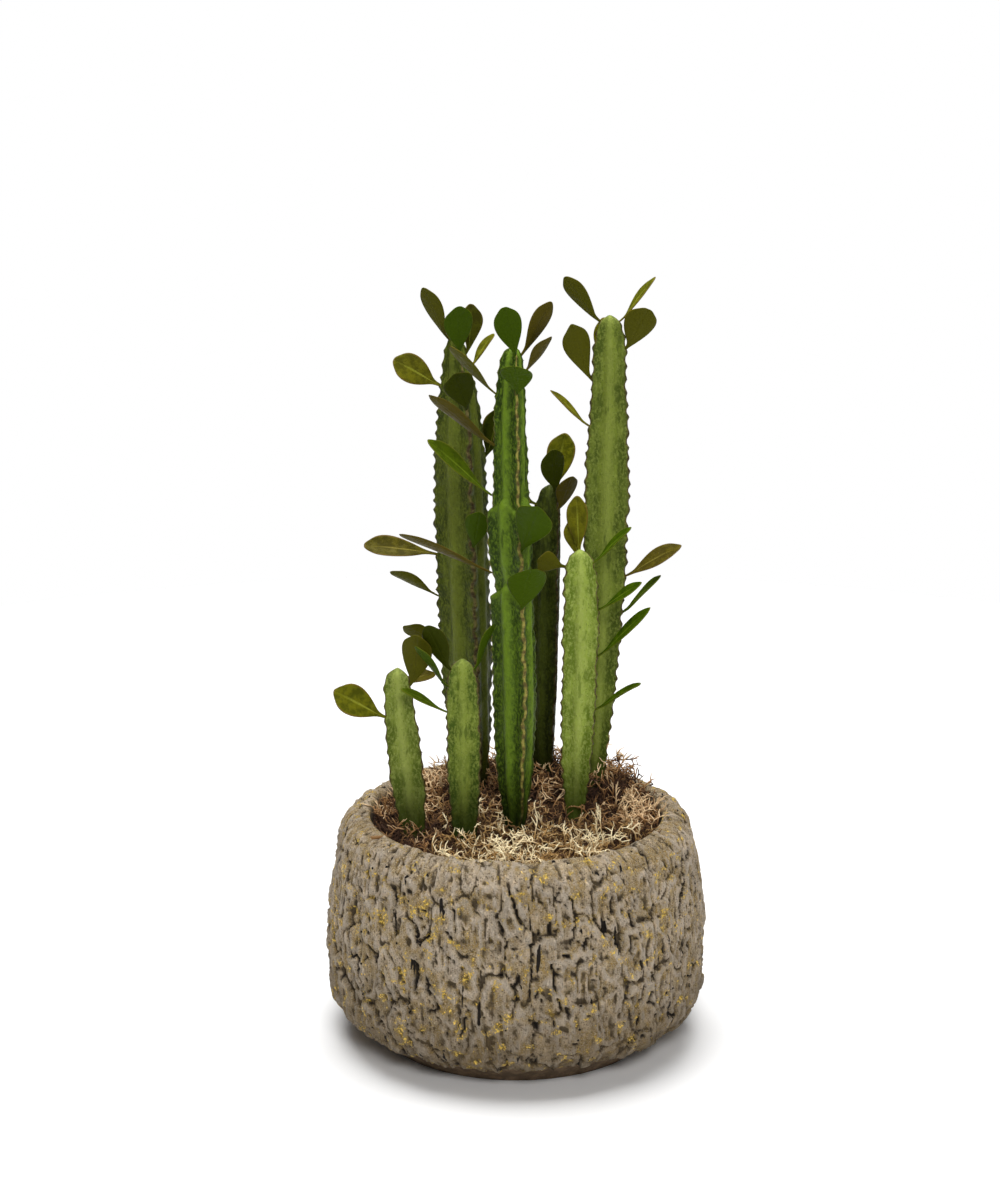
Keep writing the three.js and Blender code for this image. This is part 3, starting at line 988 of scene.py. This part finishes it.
def add_thorns(skin, look, settings, track, turn):
    """Joins a pair of small thorns to every rib tooth that stands clear of the moss."""
    levels, middle_x, middle_y, girth = track
    top, rng = levels[-1], np.random.default_rng(look["seed"])
    verts, faces = [], []
    for rib in range(RIBS):
        steps = int((top - levels[0]) / (look["gap"] * MM))
        for step in range(1, steps):
            z = top + (-step - 0.37 * rib) * (look["gap"] * MM)
            lean = smooth_noise([[z / (14 * MM), rib * 7.3, 0]], look["seed"])[0]
            z -= 0.35 * lean * (look["gap"] * MM)
            if not levels[0] + 35 * MM < z < top - 4 * MM:
                continue
            reach = np.interp(z, levels, girth)
            for shoulder in look.get("shoulders", ()):
                reach *= growth_shoulder(z, 0, shoulder)[0]
            middle = Vector((np.interp(z, levels, middle_x), np.interp(z, levels, middle_y), z))
            sway = 4 * smooth_noise([[z / (12 * MM), rib * 5.1, 0]], look["seed"] + 1)[0]
            for spread in (-28, 28):
                heading = math.radians(turn + RIB_STEP * rib + sway + rng.uniform(-3, 3))
                out = Vector((math.cos(heading), math.sin(heading), 0))
                base = middle + out * (reach * 0.96 + 0.15 * look["tooth"] * MM)
                aim = heading + math.radians(spread)
                tip_way = Vector((math.cos(aim), math.sin(aim), rng.uniform(-0.5, 0.1)))
                tip = base + tip_way.normalized() * settings.thorn_length * rng.uniform(0.7, 1.2)
                side = tip_way.cross(Vector((0, 0, 1))).normalized() * 0.36 * MM
                lift = Vector((0, 0, 0.36 * MM))
                start = len(verts)
                verts += [base + side, base - 0.5 * side + lift, base - 0.5 * side - lift, tip]
                faces += [(start, start + 2, start + 1), (start, start + 1, start + 3)]
                faces += [(start + 1, start + 2, start + 3), (start + 2, start, start + 3)]
    mesh = bpy.data.meshes.new("thorns")
    mesh.from_pydata([tuple(v) for v in verts], [], faces)
    thorns = bpy.data.objects.new("thorns", mesh)
    bpy.context.scene.collection.objects.link(thorns)
    tidy_mesh(thorns, 1e-7)
    count = len(thorns.data.vertices)
    write_value(thorns.data, "from_rib", np.zeros(count))
    write_value(thorns.data, "scar", np.zeros(count))
    write_value(thorns.data, "shade", eased(settings.base_shade, 0.152, read_points(thorns.data)[:, 2]))
    write_value(thorns.data, "thorn", np.ones(count))
    hold(skin)
    thorns.select_set(True)
    bpy.ops.object.join()


# ------------------------------------------------------------------ leaves


def leaf_finish(slot):
    """Satin leaf: soft mottling, a pale midrib and side veins, a thin margin and a duller back."""
    skin = LEAF_SKINS[slot]
    finish = Finish(slot, 0.45, Specular_IOR_Level=0.035)
    across = finish.value("across")
    tone = finish.value("tone")
    cloud = finish.effect("Mottling", Size=0.006, Low=0.36, High=0.64)
    colour = finish.blend(cloud, skin["mottle"], skin["face"])
    colour = finish.blend(finish.calculate("MULTIPLY", tone, 0.22), colour, skin["margin"])
    middle = finish.effect("Ragged band", Position=across, Edge=0.025, Softness=0.1, Wander=0.05, Size=0.003)
    fade = finish.remap(finish.value("along"), 1.0, 0.35)
    colour = finish.blend(finish.calculate("MULTIPLY", middle, fade), colour, skin["midrib"])
    rim = finish.effect("Ragged band", Position=finish.calculate("SUBTRACT", 1.0, finish.value("margin")),
                        Edge=0.03, Softness=0.1, Wander=0.08, Size=0.004)
    colour = finish.blend(finish.calculate("MULTIPLY", rim, 0.8), colour, skin["margin"])
    spots = finish.effect("Specks", Size=0.0028, Share=0.12, Fill=0.3)
    colour = finish.blend(finish.calculate("MULTIPLY", spots, 0.4), colour, skin["below"])
    colour = finish.blend(finish.value("under"), colour, skin["below"])
    finish.feed("Base Color", colour)
    finish.feed("Roughness", finish.remap(cloud, 0.0, 1.0, 0.5, 0.38))
    height = finish.calculate("SUBTRACT", cloud, finish.calculate("MULTIPLY", middle, 0.8))
    finish.bump(height, 0.0003)
    return finish.material


def measured_leaf(node):
    """A CAD leaf's foot, length and width, and its along, across and upward directions."""
    points = np.unique(np.round(read_points(node.data), 6), axis=0)
    middle = points.mean(axis=0)
    axes = np.linalg.svd(points - middle, full_matrices=False)[2]
    along, across, through = ((points - middle) @ axes.T).T
    low_end = along < along.min() + 0.12 * np.ptp(along)
    high_end = along > along.max() - 0.12 * np.ptp(along)
    if np.ptp(across[low_end]) > np.ptp(across[high_end]):
        axes[0], along = -axes[0], -along
    terms = np.c_[np.ones(len(along)), along, across, along**2, across**2]
    fit = np.linalg.lstsq(terms, through, rcond=None)[0]
    if fit[4] - fit[3] < 0:
        axes[2] = -axes[2]
    axes[1] = np.cross(axes[2], axes[0])
    foot = middle + along.min() * axes[0]
    return foot, np.ptp(along), np.ptp(across), axes


def leaf_blade(name, length, width, settings, rng):
    """One leaf lying along X with its upper face up, and its foot at the origin."""
    rows, columns = 12, 6
    deselect_everything()
    bpy.ops.mesh.primitive_grid_add(x_subdivisions=rows, y_subdivisions=columns, size=2)
    blade = bpy.context.object
    blade.name = name
    points = read_points(blade.data)
    u, v = (points[:, 0] + 1) / 2, points[:, 1]
    half = width / 2
    narrow = 1.0 * MM
    spread = np.clip((u - 0.07) / 0.93, 0, 1)
    reach = np.sin(math.pi * np.clip(spread, 0, 0.96) ** 1.5) ** 0.62
    reach = np.where(u > 0.99, 0.34, reach)
    w = np.maximum(narrow, half * reach)
    w *= 1 + 0.04 * rng.uniform(-1, 1) * np.sin(7 * u)
    notch = NOTCHED_LEAVES.get(name.replace("paddle_", ""), rng.uniform(-0.015, 0.02))
    x = length * (u - 0.05 * v**2 * eased(0.85, 1, u) - notch * hump(v, 0, 0.4) * eased(0.7, 1, u))
    sweep = rng.uniform(-0.05, 0.05) * length
    y = v * w + sweep * (u - u**2) * 2
    cup = settings.cup * rng.uniform(0.4, 1.3)
    z = cup * half * (v * w / half) ** 2 - settings.droop * length * (u**2 - u)
    z += 0.05 * half * rng.uniform(0.3, 1) * np.sin(8 * u + rng.uniform(0, 6)) * v * np.abs(v)
    z -= 0.35 * MM * hump(v, 0, 0.16) * (1 - u)
    twist = math.radians(rng.uniform(-14, 14)) * u
    y, z = y * np.cos(twist) - z * np.sin(twist), y * np.sin(twist) + z * np.cos(twist)
    write_points(blade.data, np.c_[x, y, z])
    write_value(blade.data, "along", u)
    write_value(blade.data, "side", v)
    write_value(blade.data, "margin", np.maximum(np.abs(v), eased(0.8, 1, u)))
    apply_modifier(blade, "SOLIDIFY", thickness=settings.thickness, offset=0, use_even_offset=True)
    apply_modifier(blade, "SUBSURF", levels=1, render_levels=1)
    normals = np.zeros(len(blade.data.vertices) * 3, np.float32)
    blade.data.vertices.foreach_get("normal", normals)
    side = np.zeros(len(blade.data.vertices), np.float32)
    blade.data.attributes["side"].data.foreach_get("value", side)
    write_value(blade.data, "across", np.abs(side))
    write_value(blade.data, "under", eased(0.25, -0.25, normals.reshape(-1, 3)[:, 2]))
    write_value(blade.data, "tone", np.full(len(side), rng.uniform(0, 1) ** 2))
    return blade


def grow_leaf(node_name, slot, settings, material, seed):
    foot, length, width, axes = measured_leaf(frame["nodes"][node_name])
    rng = np.random.default_rng(seed)
    blade = leaf_blade(node_name.replace("leaf_", "paddle_"), length, width, settings, rng)
    points = read_points(blade.data)
    placed = foot + points @ axes
    # The leaf stalk bends in to the rib that it grows from.
    stem = frame["nodes"]["stem_" + node_name[5:].rsplit("_", 1)[0]]
    heights, middles, _, _ = measured_stem(stem)
    towards = np.array([np.interp(foot[2], heights, middles[:, i]) for i in (0, 1)]) - foot[:2]
    towards = np.r_[towards / np.linalg.norm(towards), -0.25]
    pull = np.clip(1 - points[:, 0] / (0.16 * length), 0, 1) ** 1.5
    placed += 3.2 * MM * pull[:, None] * towards
    write_points(blade.data, placed)
    smooth_faces(blade)
    blade.data.validate()
    place_piece(blade, slot, material, node_name)


# ------------------------------------------------------------------ moss


def moss_finish(slot, bleach):
    """Dried strands, from dark inside to bleached tips, in clumps of one tone, the deep places darkened partly as the
    moss's own browner inside and partly as painted shade.
    """
    skin = MOSS_SKINS[slot]
    finish = Finish(f"{slot}_{round(100 * bleach)}", 0.92)
    clump = finish.effect("Mottling", Size=0.022, Low=0.36, High=0.64, Detail=2.0)
    tone = finish.calculate("ADD", finish.value("tone"), finish.calculate("MULTIPLY", clump, 0.45))
    tone = finish.calculate("ADD", tone, bleach)
    dark = finish.remap(tone, 0.1, 0.7)
    light = finish.remap(tone, 0.6, 1.2)
    colour = finish.blend(dark, skin["inner"], skin["mid"])
    colour = finish.blend(light, colour, skin["tip"])
    # Deep places darken towards a near-black brown: partly the moss's own browner inside, partly painted shade.
    colour = finish.blend(finish.value("deep"), colour, tuple(0.4 * c for c in skin["inner"]))
    finish.feed("Base Color", colour)
    finish.bump(finish.effect("Mottling", Size=0.0012, Low=0.3, High=0.7, Detail=2.0), 0.0002)
    return finish.material


def moss_sprig(settings, seed):
    """One curled, forked sprig as points and faces, its foot at the origin."""
    rng = np.random.default_rng(seed)
    curve = bpy.data.curves.new("sprig", "CURVE")
    curve.dimensions = "3D"
    curve.bevel_depth = settings.strand
    curve.bevel_resolution = 0
    curve.use_fill_caps = True

    def strand(start, way, count, step, bend, thick):
        axis = Vector(rng.normal(size=3)).normalized()
        points, radii = [start], [thick]
        for i in range(count):
            turn = Vector(way)
            turn.rotate(Quaternion(axis, bend * rng.uniform(0.5, 1.5)))
            way = turn
            points.append(points[-1] + way * step * rng.uniform(0.8, 1.2))
            radii.append(thick * (1 - 0.6 * (i + 1) / count))
        spline = curve.splines.new("POLY")
        spline.points.add(len(points) - 1)
        for point, place, radius in zip(spline.points, points, radii):
            point.co = (*place, 1)
            point.radius = radius
        return points

    way = Vector((rng.uniform(-0.6, 0.6), rng.uniform(-0.6, 0.6), 1)).normalized()
    step = settings.reach / 6
    main = strand(Vector((0, 0, 0)), way, 6, step, 0.6, 1.0)
    for fork in (1, 2, 3, 4, 5):
        aside = Vector(rng.normal(size=3)).normalized()
        strand(main[fork], (aside + way).normalized(), 2, step * 0.9, 0.9, 0.8)
    sprig = bpy.data.objects.new("sprig", curve)
    bpy.context.scene.collection.objects.link(sprig)
    hold(sprig)
    bpy.ops.object.convert(target="MESH")
    sprig = bpy.context.object
    points = read_points(sprig.data)
    faces = [tuple(face.vertices) for face in sprig.data.polygons]
    bpy.data.objects.remove(sprig)
    return points, faces


def random_turns(count, rng, tilt):
    """Rotation matrices: any heading, tipped over by up to tilt."""
    heading = rng.uniform(0, 2 * math.pi, count)
    tipped = tilt * np.sqrt(rng.uniform(0.05, 1, count))
    spin = rng.uniform(0, 2 * math.pi, count)

    def about_z(angle):
        c, s, zero, one = np.cos(angle), np.sin(angle), np.zeros(count), np.ones(count)
        return np.array([[c, -s, zero], [s, c, zero], [zero, zero, one]]).transpose(2, 0, 1)

    c, s, zero, one = np.cos(tipped), np.sin(tipped), np.zeros(count), np.ones(count)
    about_x = np.array([[one, zero, zero], [zero, c, -s], [zero, s, c]]).transpose(2, 0, 1)
    return about_z(heading) @ about_x @ about_z(spin)


def stem_clearance(x, y, z, tracks):
    """How far each place is outside the nearest stem's rib circle."""
    clear = np.full(len(x), 1e9)
    for heights, middles, girths, _ in tracks:
        mx, my = np.interp(z, heights, middles[:, 0]), np.interp(z, heights, middles[:, 1])
        clear = np.minimum(clear, np.hypot(x - mx, y - my) - 0.72 * np.interp(z, heights, girths))
    return clear


def moss_mat(node):
    """The matted inside of a tuft, coloured dark partly as the moss's browner inside and partly as painted shade
    between the sprigs: its CAD shape, finer, rougher and a little smaller.
    """
    mat = bpy.data.objects.new(node.name + "_mat", node.data.copy())
    bpy.context.scene.collection.objects.link(mat)
    tidy_mesh(mat, 1e-5)
    hold(mat)
    bpy.ops.object.mode_set(mode="EDIT")
    bpy.ops.mesh.select_all(action="SELECT")
    bpy.ops.mesh.quads_convert_to_tris()
    bpy.ops.mesh.subdivide(number_cuts=2)
    bpy.ops.object.mode_set(mode="OBJECT")
    points = read_points(mat.data)
    low, high = points[:, 2].min(), points[:, 2].max()
    rough = rough_noise(points / (6 * MM), 51)
    share = eased(low + 3 * MM, low + 14 * MM, points[:, 2])
    points[:, 2] -= share * (6.5 + 2.0 * rough) * MM
    write_points(mat.data, points)
    return mat


def lay_moss(name, tuft, sprigs, settings, tracks):
    node = frame["nodes"][name]
    tree = BVHTree.FromPolygons(
        [v.co.copy() for v in node.data.vertices], [tuple(p.vertices) for p in node.data.polygons]
    )
    rng = np.random.default_rng(tuft["seed"])
    low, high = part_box(name)
    wanted = int(settings.sprigs * tuft["share"])
    places = []
    while len(places) < wanted:
        x, y = rng.uniform(low.x, high.x), rng.uniform(low.y, high.y)
        hit = tree.ray_cast(Vector((x, y, high.z + 0.05)), Vector((0, 0, -1)))[0]
        if hit is None or hit.z < low.z + 12 * MM:
            continue
        if stem_clearance(np.array([x]), np.array([y]), hit.z, tracks)[0] < 0.4 * MM:
            continue
        places.append((x, y, hit.z - rng.uniform(1.0, 7.0) * MM))
    places = np.array(places)
    turns = random_turns(wanted, rng, math.radians(85))
    sizes = rng.uniform(0.5, 1.15, wanted)
    tones = rng.uniform(-0.05, 0.6, wanted)
    for x, y, spread in CREAM_CLUMPS:
        near = hump(np.hypot(places[:, 0] - x * MM, places[:, 1] - y * MM), 0, spread * MM)
        tones += 0.6 * near
        places[:, 2] += 3.5 * MM * near
    tones += 0.22 * smooth_noise(places / (16 * MM), 71)
    kinds = rng.integers(0, len(sprigs), wanted)
    verts, faces, tone, start = [], [], [], 0
    for kind, (points, shapes) in enumerate(sprigs):
        chosen = np.flatnonzero(kinds == kind)
        moved = np.einsum("nij,pj->npi", turns[chosen], points) * sizes[chosen, None, None]
        moved += places[chosen, None, :]
        verts.append(moved.reshape(-1, 3))
        lifted = moved[:, :, 2] - places[chosen, None, 2]
        # Each sprig's tone rises towards its top, so lower strands are darker: partly the moss's browner inside,
        # partly painted shade.
        tone.append((tones[chosen, None] + 0.085 * lifted / MM - 0.55).ravel())
        for copy in range(len(chosen)):
            shift = start + copy * len(points)
            faces += [tuple(i + shift for i in shape) for shape in shapes]
        start += len(chosen) * len(points)
    verts, tone = np.concatenate(verts), np.concatenate(tone)
    # Strands stay inside the bowl's mouth and above the mat's floor.
    pot_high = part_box("pot")[1].z
    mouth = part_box("soil")[1].x - 1 * MM
    reach = np.hypot(verts[:, 0], verts[:, 1])
    pulled = np.where(verts[:, 2] < pot_high + 1 * MM, np.minimum(1, mouth / reach), 1)
    verts[:, :2] *= pulled[:, None]
    verts[:, 2] = np.maximum(verts[:, 2], low.z)
    mesh = bpy.data.meshes.new(name + "_strands")
    mesh.from_pydata(verts.tolist(), [], faces)
    strands = bpy.data.objects.new(name + "_strands", mesh)
    bpy.context.scene.collection.objects.link(strands)
    write_value(mesh, "tone", tone)
    write_value(mesh, "deep", np.zeros(len(verts)))
    smooth_faces(strands)
    mat = moss_mat(node)
    count = len(mat.data.vertices)
    write_value(mat.data, "tone", np.zeros(count))
    # The mat is made deep, so it comes out near-black: partly the moss's browner inside, partly painted shade between
    # the sprigs.
    write_value(mat.data, "deep", np.full(count, 0.8))
    hold(strands)
    mat.select_set(True)
    bpy.ops.object.join()
    strands.name = name.replace("moss", "dried_moss")
    place_piece(strands, tuft["slot"], moss_finish(tuft["slot"], tuft["bleach"]), name)


# ------------------------------------------------------------------ stage


def floor_finish(colour):
    """Plain pale floor with the faintest unevenness."""
    finish = Finish("pale_floor", 0.8)
    cloud = finish.effect("Mottling", Size=0.4, Low=0.2, High=0.8)
    finish.feed("Base Color", finish.blend(cloud, tuple(0.985 * c for c in colour), tuple(colour)))
    return finish.material


def softbox(name, place, aim, size, power):
    light = bpy.data.lights.new(name, "AREA")
    light.shape = "RECTANGLE"
    light.size, light.size_y = size
    light.energy = power
    lamp = bpy.data.objects.new(name, light)
    bpy.context.scene.collection.objects.link(lamp)
    lamp.location = place
    lamp.rotation_euler = (Vector(aim) - Vector(place)).to_track_quat("-Z", "Y").to_euler()


def soft_room(strength):
    """A white room that is seen as white but lights the plant only softly."""
    world = bpy.data.worlds.new("soft_room")
    world.use_nodes = True
    tree = world.node_tree
    background = tree.nodes["Background"]
    background.inputs[0].default_value = (1, 1, 1, 1)
    seen = tree.nodes.new("ShaderNodeLightPath").outputs["Is Camera Ray"]
    join(tree, calculate(tree, "MAXIMUM", seen, strength), background.inputs[1])
    return world


def set_stage(settings):
    scene = bpy.context.scene
    deselect_everything()
    bpy.ops.mesh.primitive_circle_add(vertices=96, radius=1.15, fill_type="NGON", location=(0, 0, 0))
    floor = bpy.context.object
    floor.name = "floor"
    floor.data.materials.append(floor_finish(tuple(settings.floor_colour)))
    scene.world = soft_room(settings.ambient)
    middle = (0, 0, 0.25)
    softbox("overhead", (-0.1, 0.3, 2.1), middle, (1.9, 1.6), settings.overhead)
    softbox("front", (0.3, -2.5, 1.9), middle, (1.0, 0.8), settings.front)
    softbox("left_fill", (-2.1, -0.7, 1.2), middle, (1.0, 1.4), settings.left_fill)
    softbox("right_fill", (2.1, -0.7, 1.1), middle, (1.0, 1.4), settings.right_fill)
    scene.view_settings.view_transform = "Standard"
    camera = bpy.data.cameras.new("camera")
    camera.lens = settings.lens
    camera.sensor_width = 36
    eye = bpy.data.objects.new("camera", camera)
    scene.collection.objects.link(eye)
    eye.location = (-0.011, -2.1129, 0.9194)
    eye.rotation_euler = (math.radians(73.82), 0, 0)
    scene.camera = eye


# ------------------------------------------------------------------ operators and panel


class PLANT_OT_cast_bowl(bpy.types.Operator):
    """Casts the bark-textured bowl over the CAD bowl"""

    bl_idname = "plant.cast_bowl"
    bl_label = "Cast Bowl"

    def execute(self, context):
        cast_bowl(context.scene.plant_bowl)
        return {"FINISHED"}


class PLANT_OT_fill_soil(bpy.types.Operator):
    """Gives the CAD soil its crumbly finish"""

    bl_idname = "plant.fill_soil"
    bl_label = "Fill Soil"

    def execute(self, context):
        soil = frame["nodes"]["soil"]
        soil.data.materials.clear()
        soil.data.materials.append(soil_finish())
        return {"FINISHED"}


class PLANT_OT_grow_stems(bpy.types.Operator):
    """Grows the seven three-ribbed stems over the CAD stems"""

    bl_idname = "plant.grow_stems"
    bl_label = "Grow Stems"

    def execute(self, context):
        settings = context.scene.plant_stems
        materials = {name: stem_finish(name) for name in STEM_SKINS}
        for name, look in STEM_LOOKS.items():
            grow_stem(name, look, settings, materials[look["skin"]])
        return {"FINISHED"}


class PLANT_OT_grow_leaves(bpy.types.Operator):
    """Grows a paddle leaf over each CAD leaf"""

    bl_idname = "plant.grow_leaves"
    bl_label = "Grow Leaves"

    def execute(self, context):
        settings = context.scene.plant_leaves
        materials = {slot: leaf_finish(slot) for slot in LEAF_SKINS}
        slots = {part["node"]: part["material_slot"] for part in frame["record"]["subparts"]}
        leaves = sorted(name for name in frame["nodes"] if name.startswith("leaf_"))
        for seed, name in enumerate(leaves, 100):
            grow_leaf(name, slots[name], settings, materials[slots[name]], seed)
        return {"FINISHED"}


class PLANT_OT_lay_moss(bpy.types.Operator):
    """Lays the four tufts of dried moss over the CAD tufts"""

    bl_idname = "plant.lay_moss"
    bl_label = "Lay Moss"

    def execute(self, context):
        settings = context.scene.plant_moss
        sprigs = [moss_sprig(settings, seed) for seed in range(60, 66)]
        tracks = [measured_stem(frame["nodes"]["stem_" + name]) for name in STEM_LOOKS]
        for name, tuft in MOSS_TUFTS.items():
            lay_moss(name, tuft, sprigs, settings, tracks)
        return {"FINISHED"}


class PLANT_OT_set_stage(bpy.types.Operator):
    """Sets up the floor, the soft lights and the camera"""

    bl_idname = "plant.set_stage"
    bl_label = "Set Stage"

    def execute(self, context):
        set_stage(context.scene.plant_stage)
        return {"FINISHED"}


OPERATORS = (
    PLANT_OT_cast_bowl,
    PLANT_OT_fill_soil,
    PLANT_OT_grow_stems,
    PLANT_OT_grow_leaves,
    PLANT_OT_lay_moss,
    PLANT_OT_set_stage,
)


class PLANT_PT_panel(bpy.types.Panel):
    """Lists the steps that build the plant, and their settings"""

    bl_idname = "PLANT_PT_panel"
    bl_label = "Ribbed Succulent"
    bl_space_type = "VIEW_3D"
    bl_region_type = "UI"
    bl_category = "Plant"

    def draw(self, context):
        for operator in OPERATORS:
            self.layout.operator(operator.bl_idname)
        for name in SETTINGS:
            box = self.layout.box()
            group = getattr(context.scene, name)
            for key in group.__annotations__:
                box.prop(group, key)


SETTINGS = {
    "plant_bowl": BowlSettings,
    "plant_stems": StemSettings,
    "plant_leaves": LeafSettings,
    "plant_moss": MossSettings,
    "plant_stage": StageSettings,
}


def register():
    for made in (*SETTINGS.values(), *OPERATORS, PLANT_PT_panel):
        bpy.utils.register_class(made)
    for name, group in SETTINGS.items():
        setattr(bpy.types.Scene, name, PointerProperty(type=group))


def unregister():
    for name in SETTINGS:
        delattr(bpy.types.Scene, name)
    for made in reversed((*SETTINGS.values(), *OPERATORS, PLANT_PT_panel)):
        bpy.utils.unregister_class(made)


def main():
    register()
    bpy.ops.plant.cast_bowl()
    bpy.ops.plant.fill_soil()
    bpy.ops.plant.grow_stems()
    bpy.ops.plant.grow_leaves()
    bpy.ops.plant.lay_moss()
    bpy.ops.plant.set_stage()
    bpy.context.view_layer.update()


if __name__ == "__main__":
    main()
